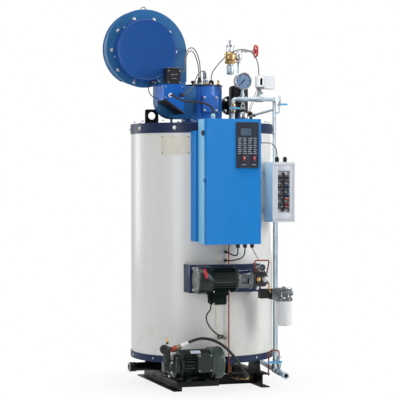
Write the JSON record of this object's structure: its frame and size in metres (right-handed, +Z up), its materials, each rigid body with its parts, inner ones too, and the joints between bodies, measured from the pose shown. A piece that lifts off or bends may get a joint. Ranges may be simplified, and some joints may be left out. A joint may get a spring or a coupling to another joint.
{
  "type": "industrial boiler",
  "caption": "Upright cylindrical steam boiler with top burner fan, front control cabinet, fuel and feed water pumps, gauge pipework and channel skids.",
  "frame": {"origin": "centre of the four anchor holes at floor level, on the boiler's upright axis", "axes": "+Z up along the boiler's axis, front with the control cabinet faces -Y, +X to the right seen from the front"},
  "size_m": [1.0643, 1.137, 2.192],
  "materials": {
    "black_paint": "satin black paint",
    "black_plastic": "matt black",
    "blue_paint": "semi-gloss blue enamel",
    "blue_sleeve": "pale blue handle sleeve",
    "brass": "machined",
    "cabinet_paint": "satin sky-blue powder coat",
    "cable_grey": "grey cable",
    "cast_aluminium": "die-cast",
    "copper": "drawn copper tube",
    "dark_steel": "dark sheet steel",
    "galvanised": "zinc-coated pipe",
    "jacket_paint": "glossy off-white baked enamel",
    "motor_paint": "dark green-black machine paint",
    "navy_paint": "gloss navy enamel",
    "pale_plastic": "pale grey",
    "polished_steel": "polished stainless",
    "rubber": "black",
    "white_paint": "gloss white paint"
  },
  "bodies": {
    "boiler": {"jacket_shell": "jacket_paint", "jacket_bands": "navy_paint", "base_plate": "black_paint", "top_cover": "navy_paint", "seam_cover": "jacket_paint", "lifting_lugs": "black_paint", "base_skids": "black_paint", "burner_drum": "blue_paint", "drum_lid": "dark_steel", "inspection_plate": "blue_paint", "fan_casing": "blue_paint", "fan_flange": "blue_paint", "fan_inlet_cover": "blue_paint", "fan_outlet_duct": "blue_paint", "fan_motor": "motor_paint", "damper_box": "blue_paint", "ignition_transformer": "black_plastic", "burner_fittings": "brass", "steam_column": "black_paint", "safety_valve_riser": "galvanised", "safety_valve_body": "brass", "safety_valve_outlet": "galvanised", "gauge_pipework": "galvanised", "pressure_gauge": "polished_steel", "pressure_switch": "pale_plastic", "water_column": "galvanised", "drain_line": "copper", "cabinet_standoff": "cabinet_paint", "cabinet_body": "cabinet_paint", "junction_box": "pale_plastic", "fuel_plate": "navy_paint", "fuel_motor": "motor_paint", "fuel_coupling": "cast_aluminium", "fuel_pump": "black_plastic", "filter_head": "cast_aluminium", "filter_canister": "white_paint", "feed_base": "black_paint", "feed_motor": "motor_paint", "feed_pump": "motor_paint", "water_inlet": "black_paint", "flue_outlet": "polished_steel", "fuel_lines": "copper", "fuel_fittings": "brass", "feed_fittings": "brass", "cable_glands": "pale_plastic", "feed_hose": "rubber", "damper_conduit": "rubber", "sensor_cable": "cable_grey", "ignition_cable_a": "cable_grey", "ignition_cable_b": "cable_grey", "switch_cable": "cable_grey", "motor_cable_a": "rubber", "motor_cable_b": "rubber", "pump_cable": "rubber", "box_cable": "cable_grey"},
    "cabinet_door": {"cabinet_door": "cabinet_paint", "display_panel": "black_plastic"},
    "blowdown_lever": {"blowdown_lever": "blue_sleeve"},
    "gauge_cock_handle": {"gauge_cock_handle": "blue_sleeve"},
    "drain_cock_handle": {"drain_cock_handle": "blue_sleeve"}
  },
  "joints": [
    {"name": "cabinet_door_hinge", "type": "hinge", "parent": "boiler", "child": "cabinet_door", "pos_m": [0.15, -0.58, 1.183], "axis": [0, 0, 1], "range_deg": [0, 110]},
    {"name": "blowdown_lever_turn", "type": "hinge", "parent": "boiler", "child": "blowdown_lever", "pos_m": [0.37221, -0.325, 0.138], "axis": [0, 1, 0], "range_deg": [0, 90]},
    {"name": "gauge_cock_turn", "type": "hinge", "parent": "boiler", "child": "gauge_cock_handle", "pos_m": [0.141, -0.18, 1.608], "axis": [0, 1, 0], "range_deg": [0, 90]},
    {"name": "drain_cock_turn", "type": "hinge", "parent": "boiler", "child": "drain_cock_handle", "pos_m": [0.41211, -0.222, 1.633], "axis": [0, 1, 0], "range_deg": [0, 90]}
  ]
}
